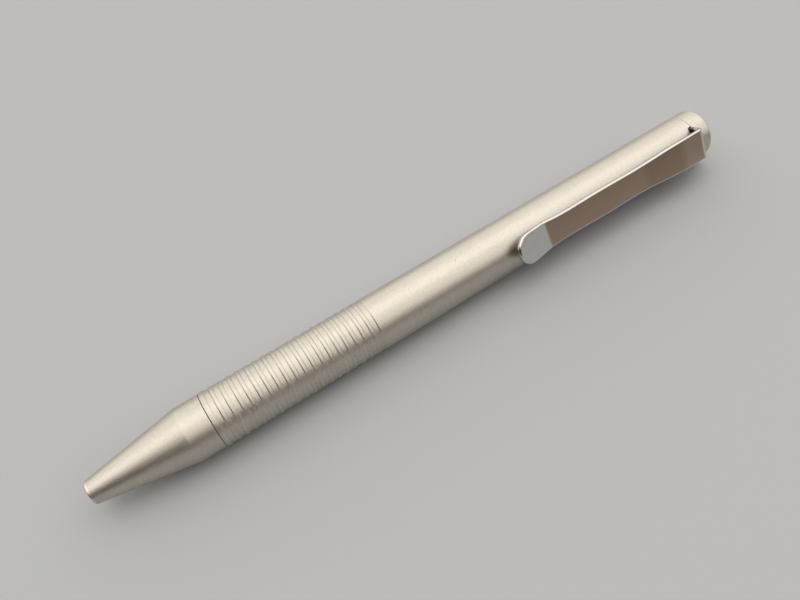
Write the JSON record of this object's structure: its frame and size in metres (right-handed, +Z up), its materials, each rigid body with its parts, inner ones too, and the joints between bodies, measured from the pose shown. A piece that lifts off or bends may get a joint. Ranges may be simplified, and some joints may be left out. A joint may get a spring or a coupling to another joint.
{
  "type": "bolt action pen",
  "caption": "Bolt action ball pen: grooved metal barrel, conical nose, flat spring clip, and a ball-headed bolt that slides and turns in a slot to put the point out.",
  "frame": {"origin": "on the surface the pen lies on, under the middle of its length and width", "axes": "+X along the pen from the writing point to the cap, +Z up, -Y to the side where the clip is"},
  "size_m": [0.1376, 0.016, 0.0115],
  "materials": {
    "titanium": "fine bead-blasted titanium, warm grey",
    "polished_steel": "polished stainless spring steel",
    "steel": "plain stainless steel",
    "brass": "turned brass",
    "rubber": "black nitrile rubber",
    "clear_plastic": "clear extruded plastic",
    "plastic": "moulded plastic",
    "ink": "black gel ink",
    "grease": "clear grease"
  },
  "bodies": {
    "barrel": {"barrel": "titanium", "rear_cap": "titanium", "clip_ring": "polished_steel", "return_spring": "steel"},
    "nose_seal": {"nose_oring": "rubber"},
    "nose": {"nose_cone": "titanium"},
    "clip": {"clip": "polished_steel"},
    "refill": {"refill_point": "steel", "refill_ball": "steel", "refill_tip_holder": "plastic", "refill_tube": "clear_plastic", "refill_ink": "ink", "refill_follower": "grease", "refill_plug": "plastic"},
    "bolt": {"bolt_carrier": "brass", "carrier_front_oring": "rubber", "carrier_rear_oring": "rubber", "bolt_knob": "titanium", "knob_set_screw": "steel", "refill_cushion": "rubber"}
  },
  "joints": [
    {"name": "bolt_slide", "type": "slide", "parent": "barrel", "child": "refill", "axis": [-1, 0, 0], "range_m": [0, 0.005], "stiffness_N_per_m": 250, "springref_m": -0.008, "deforming": ["return_spring"]},
    {"name": "bolt_turn", "type": "hinge", "parent": "refill", "child": "bolt", "pos_m": [0.04575, -0.00004, 0.00525], "axis": [1, 0, 0], "range_deg": [0, 33]},
    {"name": "clip_flex", "type": "hinge", "parent": "barrel", "child": "clip", "pos_m": [0.06437, -0.00433, 0.00761], "axis": [0, 0.482, 0.8762], "range_deg": [0, 4], "stiffness_Nm_per_rad": 5, "springref_deg": -0.57},
    {"name": "nose_travel", "type": "slide", "parent": "barrel", "child": "nose_seal", "axis": [-1, 0, 0], "range_m": [0, 0.0093]},
    {"name": "nose_unscrew", "type": "hinge", "parent": "nose_seal", "child": "nose", "pos_m": [-0.04695, -0.00004, 0.00525], "axis": [-1, 0, 0], "range_deg": [0, 4464]}
  ],
  "couplings": [
    {"joint": "nose_unscrew", "follows": "nose_travel", "rad_per_m": 8377.6}
  ]
}
